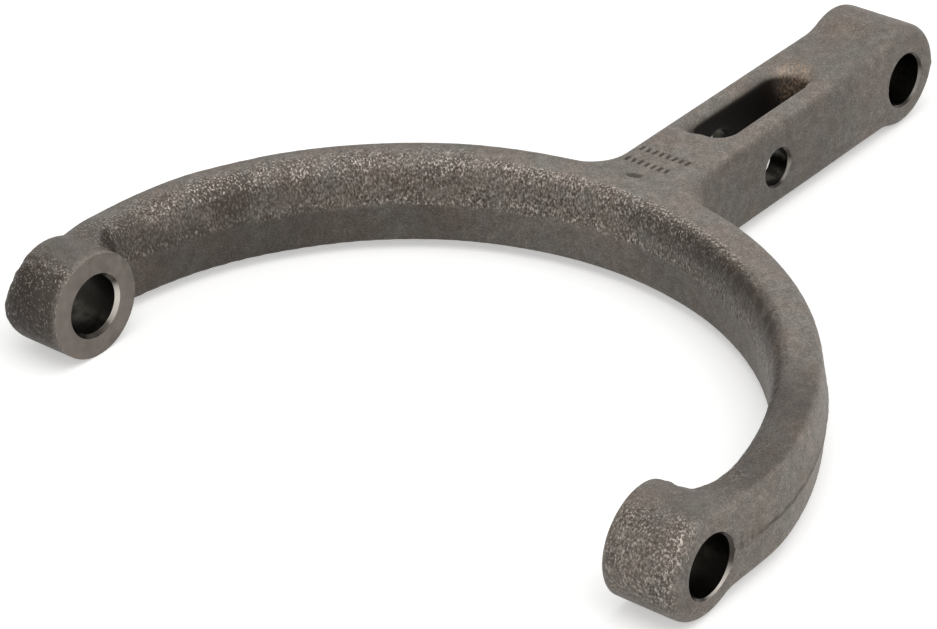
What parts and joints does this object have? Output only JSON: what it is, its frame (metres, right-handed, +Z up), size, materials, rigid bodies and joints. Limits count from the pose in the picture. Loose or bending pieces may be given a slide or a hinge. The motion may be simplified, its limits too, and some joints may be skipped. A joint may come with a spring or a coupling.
{
  "type": "shift fork",
  "caption": "Forged shift fork with a semicircular yoke, bored tip bosses, and a slotted, cross-bored stem that ends in a bored boss.",
  "frame": {"origin": "middle of the tip bores' common axis, on the parting plane of the forging", "axes": "+X along the tip bores, +Y along the stem and away from the mouth, +Z up, normal to the parting plane"},
  "size_m": [0.2196, 0.25, 0.0304],
  "materials": {
    "forged_steel": "shot-blasted forged skin with machined faces and bores"
  },
  "bodies": {
    "root": {"shift_fork": "forged_steel"}
  },
  "joints": []
}
